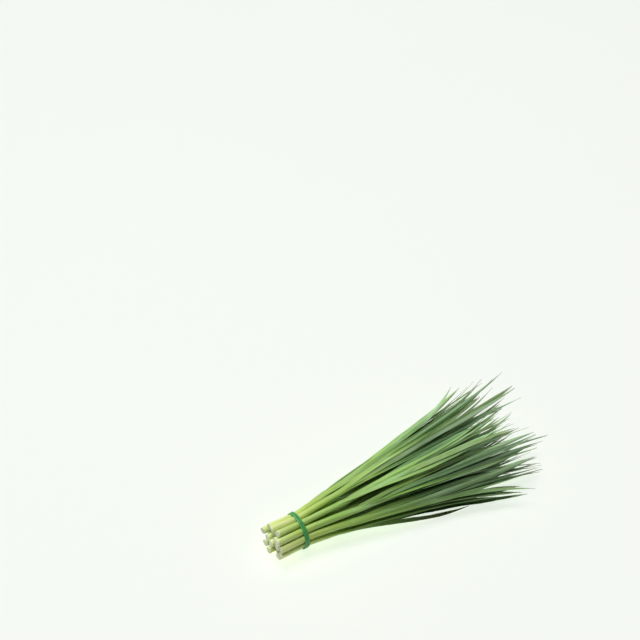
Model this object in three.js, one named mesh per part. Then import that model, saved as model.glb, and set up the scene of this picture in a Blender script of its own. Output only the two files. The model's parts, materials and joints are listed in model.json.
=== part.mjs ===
// A bunch of thin-leaved leeks, tied with a rubber band and lying on a table.
// Units are millimetres. +X runs from the cut ends to the leaf tips, +Y goes across
// the bunch and +Z is up. The origin is on the table, under the middle of the bunch.
import * as THREE from "three";

// The bunch is laid out in its tied section: u goes across it and v goes up, both in
// millimetres at the band. From there the section opens into a fan towards the tips.
const BAND_X = 28; // from the cut ends to the rubber band
const FAN_X = 238; // where the sizes of the open fan are given
const STEM_RINGS = [
  { count: 1, radius: 0, turn: 0 },
  { count: 6, radius: 7.45, turn: 0 },
  { count: 12, radius: 14.4, turn: 15 },
]; // nineteen round stems pack tightest in three rings; turn is in degrees
const STEM_RADIUS = { least: 3.2, most: 3.5 };
const BUNDLE_RADIUS = 18; // the tied section, over the stems
const BUNDLE_FLOOR = 1.1; // the height of the bottom of the tied section
const BAND_STRAND = { width: 2.2, thickness: 1.6, bevel: 0.4 };
const BAND_STRAND_PITCH = 2.45; // between the two turns, side by side
const BAND_GAP = 0.4; // between the band and the stems
const CLEARANCE = 0.3; // between any two neighbours

// The open fan, at FAN_X.
const FAN_SPREAD = 4.05; // how much wider the section is than at the band
const FAN_HEIGHT = 68;
const FAN_CROWDING = 1.35; // above 1, the lower leaves lie closer together
const FAN_DROOP = 0.6; // how far the sides of the fan hang, as a share of its height
const DROOPED_AT = 1.3; // how far open the fan is where its sides hang fully
const FAN_DRIFT = { swing: 8, waves: 1.5, phase: 0.6 }; // each layer swings sideways over the next
const FAN_FLOOR = -0.5; // the height of the bottom of the section there
const SINKING = { from: 0.05, to: 0.5 }; // how far open the fan is while its bottom sinks
const HIGHEST_LEVEL = 1.2; // no point of the section lies higher than this share of it
const WAIST = 0.03; // how gently the fan starts at the band, as a share of its length
const CUT_SPLAY = 1.05; // the loose cut ends stand this much further apart

// Stems and leaves.
const CUT_STAGGER = 8; // the cut ends aren't level
const STEM_LENGTH = { least: 66, most: 100 };
const STEM_TOP = { across: 1.12, through: 0.66 }; // the shank flattens where it opens
const STEM_ROUND_TO = 0.45; // share of its length over which a shank stays round
const LEAF_REACH = 279; // from the band to the tip of the longest leaf
const LEAF_STAGGER = 46; // how much shorter a leaf may be
const SIDE_LEAF_SHORTER = 0.13; // share of its reach that a leaf at the edge loses
const LEAF_HALF_WIDTH = { least: 3.2, most: 4.1 };
const LEAF_THICKNESS = { base: 1.3, tip: 0.7 };
const LEAF_KEEL = { base: 1.3, tip: 0.4 }; // how deep the blade is folded
const LEAF_OFFSET = { base: 1.45, tip: 1.9 }; // from the stem's own line, in the section
const LEAF_SIDE_STEP = { least: 1.2, most: 2.2 }; // the two blades part sideways, in the section
const EDGE_STEP_LOST = 0.7; // share of an outward side step that a leaf at the edge loses
const LEAF_TILT = 24; // degrees
const LEAF_TILTED_AT = 0.6; // share of its length at which a blade has its own tilt
const LEAF_MOUTH_SHARE = 0.78; // width of a blade at its start, as a share of its widest
const LEAF_FULL_FROM = 0.3; // a blade is at its widest between these shares of its length
const LEAF_FULL_TO = 0.66;
const LEAF_TAPER = 2; // above 1, the blade narrows later
const LEAF_TIP_SHARE = 0.08; // width of the blunt end of a tip, as a share of the widest

const STEM_SIDES = 10;
const STEM_STEPS = 9;
const LEAF_STEPS = 12;
const BAND_STEPS = 44; // in each turn

const BAND_CROSSING = -32; // where the two turns cross, in degrees up from the far side
const BAND_CROSSING_SPAN = 34; // degrees to either side over which they change places

const stemGreen = new THREE.MeshStandardMaterial({ color: 0xa9c46e, roughness: 0.45 });
const leafGreen = new THREE.MeshStandardMaterial({ color: 0x5f8f4c, roughness: 0.5 });
const bandGreen = new THREE.MeshStandardMaterial({ color: 0x2f8a52, roughness: 0.55 });

const { lerp, degToRad, clamp, smoothstep } = THREE.MathUtils;

// Repeatable variation from 0 to 1.
function variation(seed) {
  let state = seed;
  return () => {
    state = (Math.imul(state, 1664525) + 1013904223) >>> 0;
    return state / 2 ** 32;
  };
}

// The place in the bunch of the section point (u, v) at a distance x from the cut ends.
function place(x, u, v) {
  const along = Math.max((x - BAND_X) / (FAN_X - BAND_X), 0);
  const open = Math.hypot(along, WAIST) - WAIST;
  const splay = lerp(CUT_SPLAY, 1, smoothstep(x, 0, BAND_X));
  const spread = splay + (FAN_SPREAD - 1) * open;
  const across = u / BUNDLE_RADIUS;
  const level = clamp(0.5 + (0.5 * splay * v) / BUNDLE_RADIUS, 0, HIGHEST_LEVEL);
  const crowding = lerp(1, FAN_CROWDING, smoothstep(open, 0, 1));
  const height = lerp(2 * BUNDLE_RADIUS, FAN_HEIGHT, open);
  const droop = 1 - FAN_DROOP * smoothstep(open, 0, DROOPED_AT) * across * across;
  const floor = lerp(BUNDLE_FLOOR, FAN_FLOOR, smoothstep(open, SINKING.from, SINKING.to));
  const sway = Math.sin(2 * Math.PI * level * FAN_DRIFT.waves + FAN_DRIFT.phase);
  const drift = FAN_DRIFT.swing * open * open * sway;
  return new THREE.Vector3(
    x,
    u * spread + drift,
    floor + height * level ** crowding * droop,
  );
}

// One closed body through rings of points, which turn anticlockwise seen from its far end.
// A ring body that comes back to its start is closed on itself, and any other gets two ends.
function loft(rings, comesBack = false) {
  const sides = rings[0].length;
  const faces = [];
  const strips = comesBack ? rings.length : rings.length - 1;
  for (let i = 0; i < strips; i++) {
    const near = i * sides;
    const far = ((i + 1) % rings.length) * sides;
    for (let j = 0; j < sides; j++) {
      const k = (j + 1) % sides;
      faces.push(near + j, near + k, far + k, near + j, far + k, far + j);
    }
  }
  if (!comesBack) {
    const last = (rings.length - 1) * sides;
    for (const [a, b, c] of endFace(rings[0])) faces.push(a, c, b);
    for (const [a, b, c] of endFace(rings.at(-1))) faces.push(last + a, last + b, last + c);
  }
  const geometry = new THREE.BufferGeometry().setFromPoints(rings.flat());
  geometry.setIndex(faces);
  geometry.computeVertexNormals();
  return geometry;
}

function endFace(ring) {
  const outline = ring.map((point) => new THREE.Vector2(point.y, point.z));
  return THREE.ShapeUtils.triangulateShape(outline, []);
}

// The direction across the bunch at a section point, turned by a tilt about X.
function acrossAt(x, u, v, tilt) {
  const across = place(x, u + 0.5, v).sub(place(x, u - 0.5, v)).normalize();
  return across.applyAxisAngle(new THREE.Vector3(1, 0, 0), tilt);
}

// A stem: a round shank from its flat cut end to the flattened mouth where its leaves open.
function stemGeometry(stem) {
  const rings = [];
  for (let i = 0; i <= STEM_STEPS; i++) {
    const share = i / STEM_STEPS;
    const x = lerp(stem.cut, stem.top, share);
    const flatten = smoothstep(share, STEM_ROUND_TO, 1);
    const wide = stem.radius * lerp(1, STEM_TOP.across, flatten);
    const thick = stem.radius * lerp(1, STEM_TOP.through, flatten);
    const centre = place(x, stem.u, stem.v);
    const across = acrossAt(x, stem.u, stem.v, stem.tilt * flatten);
    const through = new THREE.Vector3(1, 0, 0).cross(across);
    const ring = [];
    for (let j = 0; j < STEM_SIDES; j++) {
      const angle = (2 * Math.PI * j) / STEM_SIDES;
      ring.push(
        centre
          .clone()
          .addScaledVector(across, wide * Math.cos(angle))
          .addScaledVector(through, thick * Math.sin(angle)),
      );
    }
    rings.push(ring);
  }
  return loft(rings);
}

// Half the width of a blade along its length, as a share of its widest.
function bladeWidth(share) {
  const opening = lerp(LEAF_MOUTH_SHARE, 1, smoothstep(share, 0, LEAF_FULL_FROM));
  const tapering = 1 - Math.max(0, (share - LEAF_FULL_TO) / (1 - LEAF_FULL_TO)) ** LEAF_TAPER;
  return opening * lerp(LEAF_TIP_SHARE, 1, tapering);
}

// A leaf blade: a long strip folded along its keel. The side is 1 for the blade over the
// stem's own line and -1 for the one under it, and the keel is on the outside of the fold.
function leafGeometry(stem, leaf) {
  const rings = [];
  const base = stem.top + CLEARANCE;
  for (let i = 0; i <= LEAF_STEPS; i++) {
    const share = i / LEAF_STEPS;
    const x = lerp(base, leaf.tip, share);
    const u = stem.u + leaf.sideStep * share;
    const v = stem.v + leaf.side * lerp(LEAF_OFFSET.base, LEAF_OFFSET.tip, share);
    const half = leaf.halfWidth * bladeWidth(share);
    const thick = lerp(LEAF_THICKNESS.base, LEAF_THICKNESS.tip, share) / 2;
    const keel = (leaf.side * lerp(LEAF_KEEL.base, LEAF_KEEL.tip, share)) / 2;
    const tilt = lerp(stem.tilt, leaf.tilt, smoothstep(share, 0, LEAF_TILTED_AT));
    const centre = place(x, u, v);
    const across = acrossAt(x, u, v, tilt);
    const through = new THREE.Vector3(1, 0, 0).cross(across);
    const corners = [
      [-half, -keel - thick],
      [0, keel - thick],
      [half, -keel - thick],
      [half, -keel + thick],
      [0, keel + thick],
      [-half, -keel + thick],
    ];
    rings.push(
      corners.map(([a, b]) =>
        centre.clone().addScaledVector(across, a).addScaledVector(through, b),
      ),
    );
  }
  return loft(rings);
}

// The rubber band: one loop that goes round the stems twice, side by side, and crosses
// over itself once, low on the far side. It is pressed flat where the bunch lies on it.
function bandGeometry(stems) {
  const crossing = degToRad(BAND_CROSSING);
  const crossingSpan = degToRad(BAND_CROSSING_SPAN);
  const rings = [];
  for (let i = 0; i < 2 * BAND_STEPS; i++) {
    const angle = crossing + (2 * Math.PI * i) / BAND_STEPS;
    const direction = new THREE.Vector3(0, Math.cos(angle), Math.sin(angle));
    const hold = Math.max(
      ...stems.map((stem) => stem.u * direction.y + stem.v * direction.z + stem.radius),
    );
    const round = Math.floor((i + BAND_STEPS / 2) / BAND_STEPS);
    const fromCrossing = (2 * Math.PI * i) / BAND_STEPS - 2 * Math.PI * round;
    const swing = Math.PI * (round + smoothstep(fromCrossing, -crossingSpan, crossingSpan));
    const hop = (BAND_STRAND.thickness + CLEARANCE) * Math.max(0, Math.sin(swing));
    const reach = hold + BAND_GAP + BAND_STRAND.thickness / 2 + hop;
    const centre = direction
      .clone()
      .multiplyScalar(reach)
      .add(new THREE.Vector3(BAND_X + (BAND_STRAND_PITCH / 2) * Math.cos(swing), 0, 0));
    centre.z += place(BAND_X, 0, 0).z;
    const pressed = centre.z < BAND_STRAND.thickness / 2;
    if (pressed) centre.z = BAND_STRAND.thickness / 2;
    const out = pressed ? new THREE.Vector3(0, 0, -1) : direction;
    rings.push(
      strandSection().map(([a, b]) =>
        centre.clone().addScaledVector(out, a).add(new THREE.Vector3(b, 0, 0)),
      ),
    );
  }
  return loft(rings, true);
}

// A strand's section, a strip with its four corners cut off, as [outwards, along the bunch].
function strandSection() {
  const { bevel } = BAND_STRAND;
  const out = BAND_STRAND.thickness / 2;
  const side = BAND_STRAND.width / 2;
  return [
    [-out, side - bevel],
    [bevel - out, side],
    [out - bevel, side],
    [out, side - bevel],
    [out, bevel - side],
    [out - bevel, -side],
    [bevel - out, -side],
    [-out, bevel - side],
  ];
}

// Every stem of the bunch, from the inside out, each with its two outer leaves.
function layOutStems() {
  const vary = variation(119);
  const between = ({ least, most }) => lerp(least, most, vary());
  const stems = [];
  for (const ring of STEM_RINGS) {
    for (let i = 0; i < ring.count; i++) {
      const angle = degToRad(ring.turn + (360 * i) / ring.count);
      const stem = {
        u: ring.radius * Math.cos(angle),
        v: ring.radius * Math.sin(angle),
        radius: between(STEM_RADIUS),
        cut: CUT_STAGGER * (vary() - 0.5),
        top: between(STEM_LENGTH),
        tilt: degToRad(LEAF_TILT) * (2 * vary() - 1),
      };
      const edge = Math.abs(stem.u) / BUNDLE_RADIUS;
      const sense = vary() < 0.5 ? -1 : 1;
      stem.leaves = [-1, 1].map((side) => {
        const outwards = sense * side * stem.u > 0;
        return {
          side,
          tip: BAND_X + LEAF_REACH * (1 - SIDE_LEAF_SHORTER * edge) - LEAF_STAGGER * vary(),
          halfWidth: between(LEAF_HALF_WIDTH),
          sideStep: sense * side * between(LEAF_SIDE_STEP) * (outwards ? 1 - EDGE_STEP_LOST * edge : 1),
          tilt: degToRad(LEAF_TILT) * (2 * vary() - 1),
        };
      });
      stems.push(stem);
    }
  }
  return stems;
}

const bunch = new THREE.Group();

function add(name, geometry, material) {
  const mesh = new THREE.Mesh(geometry, material);
  mesh.name = name;
  bunch.add(mesh);
}

const stems = layOutStems();
stems.forEach((stem, i) => {
  const name = `stem_${String(i + 1).padStart(2, "0")}`;
  add(name, stemGeometry(stem), stemGreen);
  for (const leaf of stem.leaves) {
    const blade = leaf.side < 0 ? "lower_leaf" : "upper_leaf";
    add(`${name}_${blade}`, leafGeometry(stem, leaf), leafGreen);
  }
});
add("rubber_band", bandGeometry(stems), bandGreen);

// The origin goes on the table, under the middle of the bunch.
const extent = new THREE.Box3().setFromObject(bunch);
const middle = extent.getCenter(new THREE.Vector3());
bunch.position.set(-middle.x, -middle.y, -extent.min.z);

export default bunch;
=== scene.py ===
import json
import math
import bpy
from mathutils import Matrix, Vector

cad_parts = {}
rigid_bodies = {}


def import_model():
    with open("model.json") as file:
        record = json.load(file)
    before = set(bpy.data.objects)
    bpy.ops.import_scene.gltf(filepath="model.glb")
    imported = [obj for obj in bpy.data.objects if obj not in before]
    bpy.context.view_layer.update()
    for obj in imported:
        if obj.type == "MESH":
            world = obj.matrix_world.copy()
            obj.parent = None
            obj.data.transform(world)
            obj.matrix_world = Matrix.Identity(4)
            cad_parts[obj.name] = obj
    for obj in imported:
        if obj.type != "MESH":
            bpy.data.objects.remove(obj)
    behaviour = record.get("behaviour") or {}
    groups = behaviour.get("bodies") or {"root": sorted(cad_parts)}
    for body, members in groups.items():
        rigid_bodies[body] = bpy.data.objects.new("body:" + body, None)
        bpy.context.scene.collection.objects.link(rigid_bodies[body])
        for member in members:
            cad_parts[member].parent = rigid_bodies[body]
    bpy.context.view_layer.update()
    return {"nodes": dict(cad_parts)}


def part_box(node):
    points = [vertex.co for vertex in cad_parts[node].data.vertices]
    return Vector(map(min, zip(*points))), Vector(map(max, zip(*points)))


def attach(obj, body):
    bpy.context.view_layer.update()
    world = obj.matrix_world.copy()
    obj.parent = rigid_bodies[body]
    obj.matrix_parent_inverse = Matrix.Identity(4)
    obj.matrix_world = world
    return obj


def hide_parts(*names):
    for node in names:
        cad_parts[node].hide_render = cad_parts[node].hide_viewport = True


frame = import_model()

from types import SimpleNamespace

import bmesh
import bpy
import numpy as np
from bpy.props import FloatProperty, FloatVectorProperty, IntProperty, PointerProperty
from mathutils import Vector

bl_info = {
    "name": "Bunch of leeks",
    "version": (1, 0, 0),
    "blender": (4, 5, 0),
    "location": "3D View > Sidebar > Leeks",
    "description": "Builds a tied bunch of thin-leaved leeks on its packed frame",
    "category": "Object",
}

MM = 0.001
BODY = "root"
STEM_NODES = sorted(n for n in frame["nodes"] if n.startswith("stem_") and n.count("_") == 1)
BLADE_SIDES = {"lower": -1, "upper": 1}
BAKE_MAP = "OFBake"  # the name of the UV map that each piece is laid out in
MAP_MARGIN = 0.01  # the share of the map, at each of its ends, that the ends of a piece fill

SECTION_GAP = 1 * MM  # corners of a CAD section lie closer together than this along the bunch
ROUND_ENOUGH = 1.04  # a section whose sides differ by less has no clear direction across
FLAT_ENOUGH = 1.5  # a leaf's section has a clear one if it is this many times wider than deep
STEADY = 0.8  # and if it turns no further from the last, by the cosine of the turn
TABLE_GAP = 0.15 * MM  # the lowest point of a leaf lies this far over the table
FAN_ROUNDING = 22 * MM  # how sharply the top of the fan falls away from each of its leaves
PATTERN_STEP = 0.05  # how far apart the patterns of two leeks or leaves are taken
LEEK_LENGTH = 300 * MM  # the length that the greens from a cut end to the leaf tips run over
YOUNG_LETTERS = "abcdef"  # these end the names of a leek's young leaves


def srgb(red, green, blue):
    """A colour given in display values from 0 to 255, as linear red, green and blue."""
    shares = (channel / 255 for channel in (red, green, blue))
    return tuple(s / 12.92 if s <= 0.04045 else ((s + 0.055) / 1.055) ** 2.4 for s in shares)


# ---------------------------------------------------------------------------------------
# Sizes and colours that a user would change


def number_field(name, description, value, **kind):
    return FloatProperty(name=name, description=description, default=value, **kind)


def length_field(name, description, millimetres):
    return number_field(name, description, millimetres * MM, unit="LENGTH", precision=6)


def share_field(name, description, value):
    return number_field(name, description, value, subtype="FACTOR", min=0, max=1)


def angle_field(name, description, degrees):
    return number_field(name, description, math.radians(degrees), subtype="ANGLE")


def count_field(name, description, value, **limits):
    return IntProperty(name=name, description=description, default=value, **limits)


def colour_field(name, description, *channels):
    return FloatVectorProperty(
        name=name, description=description, subtype="COLOR", default=srgb(*channels))


class ShankSettings(bpy.types.PropertyGroup):
    """The round shanks, from the cut ends to where their leaves open."""

    sides: count_field("Sides", "Faces round a shank", 40, min=12)
    stations: count_field("Stations", "Rings along a shank", 64, min=16)
    ribs: count_field("Ribs", "Fine ribs round a shank", 17, min=0)
    rib_height: length_field("Rib height", "How far the fine ribs stand out", 0.03)
    coat_thickness: length_field(
        "Coat thickness", "Thickness of the old outer coat where it ends", 0.16)
    cut_slant: angle_field("Cut slant", "How far a cut may be out of square", 9)
    layers: count_field("Layers", "Coats that show as rings on a cut end", 4, min=1)
    band_pinch: length_field("Band pinch", "How far the rubber band presses into a shank", 0.16)
    cut_colour: colour_field("Cut colour", "The flesh on a fresh cut end", 236, 240, 206)
    ring_colour: colour_field(
        "Ring colour", "The thin greener lines between the coats", 190, 206, 140)


class GreenSettings(bpy.types.PropertyGroup):
    """The greens along a leek, which its shank and its leaves share."""

    root: colour_field("Root", "Colour at the cut end", 212, 224, 160)
    tie: colour_field("Tie", "Colour of a shank at the rubber band", 172, 199, 98)
    shank: colour_field("Shank", "Colour of a shank past the rubber band", 147, 185, 88)
    mouth: colour_field("Mouth", "Colour where the leaves open", 129, 166, 88)
    blade: colour_field("Blade", "Colour of the open leaves", 108, 143, 88)
    end: colour_field("End", "Colour of the last third of the leaves", 152, 183, 136)
    bloom: colour_field("Bloom", "The thin wax on the leaves", 162, 190, 152)
    dry: colour_field("Dry", "The dry tips of the leaves", 142, 132, 108)


class BladeSettings(bpy.types.PropertyGroup):
    """The two outer leaves of each leek."""

    stations: count_field("Stations", "Rings along a leaf", 66, min=16)
    thickness: length_field("Thickness", "Thickness of a leaf where it opens", 0.75)
    tip_thickness: length_field("Tip thickness", "Thickness of a leaf at its tip", 0.32)
    rib: length_field("Midrib", "How far the midrib stands out", 0.28)
    narrowing: share_field(
        "Narrowing", "Width of an open leaf as a share of its CAD width", 0.84)
    fold: length_field("Fold", "How deep a leaf is folded along its midrib", 1.15)
    pleat: length_field("Pleat", "Height of the long soft pleats beside the midrib", 0.07)
    wave: length_field("Wave", "How far the margins wave", 0.22)
    sway: length_field("Sway", "How far a leaf strays from its line", 1.5)
    tip_bend: length_field("Tip bend", "How far a tip bends away", 4.5)
    twist: angle_field("Twist", "How far a leaf turns about its line", 22)
    wrap: length_field("Wrap", "Length of the sheath that holds the shank", 24)


class YoungLeafSettings(bpy.types.PropertyGroup):
    """The narrower young leaves inside each leek."""

    each: count_field(
        "Each", "Young leaves in each leek", 6, min=0, max=len(YOUNG_LETTERS))
    stations: count_field("Stations", "Rings along a young leaf", 54, min=16)
    narrowest: length_field("Narrowest", "Half the width of the narrowest young leaf", 1.75)
    widest: length_field("Widest", "Half the width of the widest young leaf", 2.7)
    thickness: length_field("Thickness", "Thickness of a young leaf", 0.55)
    spread: length_field(
        "Spread", "How far the young leaves of a leek part towards their tips", 17)
    near: length_field("Near", "How far the young leaves of a leek part where they come out", 2.4)
    early: length_field("Early", "How far before the mouth the first young leaves come out", 26)
    fold: length_field("Fold", "How deep a young leaf is folded along its midrib", 0.85)
    lift: share_field("Lift", "Share of the room over it through which a young leaf rises", 0.62)
    rise: length_field(
        "Rise", "How far over or under its leek's middle a young leaf may come", 4.5)


class DryLeafSettings(bpy.types.PropertyGroup):
    """The thin dry leaf that hangs out of the near side of the bunch."""

    stations: count_field("Stations", "Rings along the dry leaf", 54, min=16)
    half_width: length_field("Half width", "Half the width of the dry leaf", 2.8)
    thickness: length_field("Thickness", "Thickness of the dry leaf", 0.4)
    fold: length_field("Fold", "How deep the dry leaf is folded along its midrib", 0.8)
    reach: share_field("Reach", "Its length as a share of the leaf over it", 0.69)
    bow: length_field("Bow", "How far it bows out from under the leaf over it", 0.8)
    turn_back: length_field("Turn back", "How far its tip turns back under the bunch", 3)
    height: length_field("Height", "Height of its tip over the table", 1.6)


class BandSettings(bpy.types.PropertyGroup):
    """The rubber band, which goes round the bunch twice."""

    width: length_field("Width", "Width of the strand along the bunch", 2.25)
    thickness: length_field("Thickness", "Thickness of the strand", 1.45)
    pitch: length_field("Pitch", "Distance between the two turns", 2.4)
    stations: count_field("Stations", "Rings along each turn", 210, min=60)
    colour: colour_field("Colour", "Colour of the rubber", 73, 157, 82)
    dust: colour_field("Dust", "Colour of the fine dust on the rubber", 126, 178, 138)


class StageSettings(bpy.types.PropertyGroup):
    """The table, the lights and the camera."""

    table_colour: colour_field("Table colour", "Colour of the plain table", 246, 250, 244)
    table_size: number_field("Table size", "Width of the table", 60, unit="LENGTH")
    daylight: number_field("Daylight", "Strength of the even light from all round", 0.05)
    key_power: number_field(
        "Key power", "Power of the large soft lamp overhead", 62, unit="POWER")
    side_power: number_field(
        "Side power",
        "Power of the soft lamp that lights the bunch from its far side", 42, unit="POWER")
    wash_strength: number_field(
        "Wash strength", "Strength of the even light that only the table shows", 2.38)
    shade_power: number_field(
        "Shade power",
        "Power of the soft lamp that gives the table its faint shadow", 20, unit="POWER")
    azimuth: angle_field("Azimuth", "Camera's direction round the bunch", -29.9)
    elevation: angle_field("Elevation", "Height of the camera over the band as an angle", 51)
    distance: number_field("Distance", "From the rubber band to the camera", 1.752, unit="LENGTH")
    lens: number_field("Lens", "Focal length of the camera in millimetres", 100, unit="CAMERA")
    aim_right: length_field("Aim right", "How far right of the band the camera aims", 24.6)
    aim_up: length_field("Aim up", "How far above the band the camera aims", 206.9)


# ---------------------------------------------------------------------------------------
# Curves and vectors


def lerp(start, end, share):
    return start + (end - start) * share


def ease(value, start, end):
    """0 before start, 1 after end, and a smooth change between them."""
    share = np.clip((value - start) / (end - start), 0, 1)
    return share * share * (3 - 2 * share)


def unit(vectors):
    return vectors / np.linalg.norm(vectors, axis=-1, keepdims=True)


def turned(vectors, axes, angles):
    """Vectors turned about unit axes that they stand square to."""
    angles = np.asarray(angles)[..., None]
    return vectors * np.cos(angles) + np.cross(axes, vectors) * np.sin(angles)


def smooth_through(knots, values, places):
    """A smooth curve through values at the knots, read at other places; straight past its ends."""
    slopes = np.gradient(values, knots, axis=0)
    inside = np.clip(places, knots[0], knots[-1])
    left = np.clip(np.searchsorted(knots, inside, side="right") - 1, 0, len(knots) - 2)
    step = knots[left + 1] - knots[left]
    share = (inside - knots[left]) / step
    past = places - inside
    if values.ndim > 1:
        share, step, past = share[:, None], step[:, None], past[:, None]
    a, b = values[left], values[left + 1]
    rise_a, rise_b = slopes[left] * step, slopes[left + 1] * step
    curve = (a * (1 + 2 * share) * (1 - share) ** 2 + b * share ** 2 * (3 - 2 * share)
             + rise_a * share * (1 - share) ** 2 - rise_b * share ** 2 * (1 - share))
    end_slope = np.where(past > 0, slopes[-1], slopes[0])
    return curve + end_slope * past


def led_out(start, slope, powers, knots, values, places):
    """A smooth curve along the bunch, which leaves its start in the direction of the slope,
    if the powers start with 2, and then keeps as close as it can to the values at the knots."""
    past, reach = ((x - start[0])[:, None] for x in (knots, places))
    rest = values - start - slope * past
    bends = np.linalg.lstsq(past ** powers, rest, rcond=None)[0]
    return start + slope * reach + reach ** powers @ bends


def simple_curve(knots, values, places):
    """The cubic curve that comes nearest to the values at the knots, read at other places."""
    middle, reach = (knots[0] + knots[-1]) / 2, (knots[-1] - knots[0]) / 2
    fit = np.polynomial.polynomial.polyfit((knots - middle) / reach, values, 3)
    return np.polynomial.polynomial.polyval((places - middle) / reach, fit).T


def frame_along(points, across):
    """Unit directions along, across and out of a line of points, square to each other."""
    along = unit(np.gradient(points, axis=0))
    across = unit(across - (across * along).sum(axis=1, keepdims=True) * along)
    return along, across, np.cross(along, across)


def follow(line, values, x):
    """Values given at the points of a line along the bunch, read at other places along it."""
    return smooth_through(line[:, 0], values, x)


def moved(directions, amounts):
    """Each station's direction times the amounts at the points of its ring."""
    return directions[:, None] * amounts[..., None]


# ---------------------------------------------------------------------------------------
# What the frame says


def sections(node):
    """The cross-sections of a long CAD node, in order from its cut end, as arrays of corners."""
    mesh = frame["nodes"][node].data
    corners = np.empty(3 * len(mesh.vertices))
    mesh.vertices.foreach_get("co", corners)
    corners = np.unique(corners.reshape(-1, 3).round(6), axis=0)
    ends = np.nonzero(np.diff(corners[:, 0]) > SECTION_GAP)[0] + 1
    return np.split(corners, ends)


def main_direction(section):
    """Middle, unit direction across, and half width and depth of a round or oval section."""
    middle = section.mean(axis=0)
    _, sizes, axes = np.linalg.svd(section - middle)
    wide, deep = sizes[:2] * math.sqrt(2 / len(section))
    return middle, axes[0] * np.sign(axes[0][1]), wide, deep


def read_shank(node):
    """The line and the sizes of a CAD stem at each of its sections."""
    found = [main_direction(section) for section in sections(node)]
    across = found[-1][1]
    rows = []
    for middle, direction, wide, deep in reversed(found):
        if wide > ROUND_ENOUGH * deep:
            across = direction
        rows.append((middle, across, wide, deep))
    middle, across, wide, deep = (np.array(column) for column in zip(*reversed(rows)))
    return SimpleNamespace(
        number=int(node.split("_")[1]), cut=middle[0, 0], top=middle[-1, 0],
        middle=middle, across=across, wide=wide, deep=deep)


def read_blade(node, side):
    """The outer edge of a CAD leaf's fold, its direction across and half its width."""
    ridge, directions, halves = [], [], []
    for section in sections(node):
        middle, across, wide, deep = main_direction(section)
        turn = across @ directions[-1] if directions else 1
        if directions and (wide < FLAT_ENOUGH * deep or turn < STEADY):
            across = directions[-1]
        out = side * np.cross((1, 0, 0), across)
        ridge.append(section[np.argmax(section @ out)])
        directions.append(across)
        halves.append(np.abs((section - middle) @ across).max())
    return SimpleNamespace(
        ridge=np.array(ridge), across=np.array(directions), half=np.array(halves))


def stem_at(shank, x):
    """Middle and radius of a stem at a distance along the bunch."""
    _, y, z = follow(shank.middle, shank.middle, np.array([x]))[0]
    return y, z, np.interp(x, shank.middle[:, 0], shank.wide)


# ---------------------------------------------------------------------------------------
# Meshes and pieces


def loft(name, rings, marks, closed=False):
    """A smooth closed mesh through rings of points, which turn anticlockwise seen from its far
    end. Marks are the named values that its material reads, one at each point."""
    count, sides = rings.shape[:2]
    corner = np.arange(count * sides).reshape(count, sides)
    if closed:
        corner = np.vstack([corner, corner[:1]])
        strip = np.arange(count + 1) / count
    else:
        lengths = np.linalg.norm(np.diff(rings.mean(axis=1), axis=0), axis=1)
        steps = np.linalg.norm(np.diff(rings, axis=0), axis=2).mean(axis=1)
        height = np.append(0, np.cumsum(np.maximum(lengths, steps)))
        strip = lerp(MAP_MARGIN, 1 - MAP_MARGIN, height / height[-1])
    near, far = corner[:-1], corner[1:]
    quads = np.stack([near, np.roll(near, -1, 1), np.roll(far, -1, 1), far], axis=-1)
    faces = quads.reshape(-1, 4).tolist()
    points = rings.reshape(-1, 3)

    around = np.arange(sides) / sides
    low, left = np.meshgrid(strip[:-1], around, indexing="ij")
    high = np.broadcast_to(strip[1:, None], low.shape)
    right = left + 1 / sides
    places = np.stack([left, low, right, low, right, high, left, high], axis=-1).reshape(-1, 2)

    if not closed:
        points = np.vstack([points, rings[0].mean(axis=0), rings[-1].mean(axis=0)])
        for ring, centre, v_ring, v_centre, u in (
                (corner[0][::-1], count * sides, strip[0], 0.0, around[::-1]),
                (corner[-1], count * sides + 1, strip[-1], 1.0, around)):
            faces += [[a, b, centre] for a, b in zip(ring.tolist(), np.roll(ring, -1).tolist())]
            fan = np.stack([u, u * 0 + v_ring, u + 1 / sides, u * 0 + v_ring,
                            u + 0.5 / sides, u * 0 + v_centre], axis=-1)
            places = np.vstack([places, fan.reshape(-1, 2)])

    mesh = bpy.data.meshes.new(name)
    mesh.from_pydata(points.tolist(), [], faces)
    mesh.shade_smooth()
    mesh.uv_layers.new(name=BAKE_MAP).data.foreach_set("uv", places.ravel())
    for mark, values in marks.items():
        vector = np.ndim(values) == 3
        values = np.broadcast_to(values, (count, sides, 3) if vector else (count, sides))
        flat = values.reshape(count * sides, -1)
        if not closed:
            flat = np.vstack([flat, values[0].mean(axis=0), values[-1].mean(axis=0)])
        kind, field = ("FLOAT_VECTOR", "vector") if vector else ("FLOAT", "value")
        mesh.attributes.new(mark, kind, "POINT").data.foreach_set(field, flat.ravel())
    mesh.validate()
    return mesh


def add_object(name, data):
    added = bpy.data.objects.new(name, data)
    bpy.context.scene.collection.objects.link(added)
    return added


def add_piece(name, mesh, material, stands_for=None):
    """Puts a finished mesh in the scene as a piece of the bunch."""
    mesh.materials.append(material)
    piece = add_object(name, mesh)
    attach(piece, BODY)
    if stands_for:
        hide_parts(stands_for)


# ---------------------------------------------------------------------------------------
# Node trees


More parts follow.
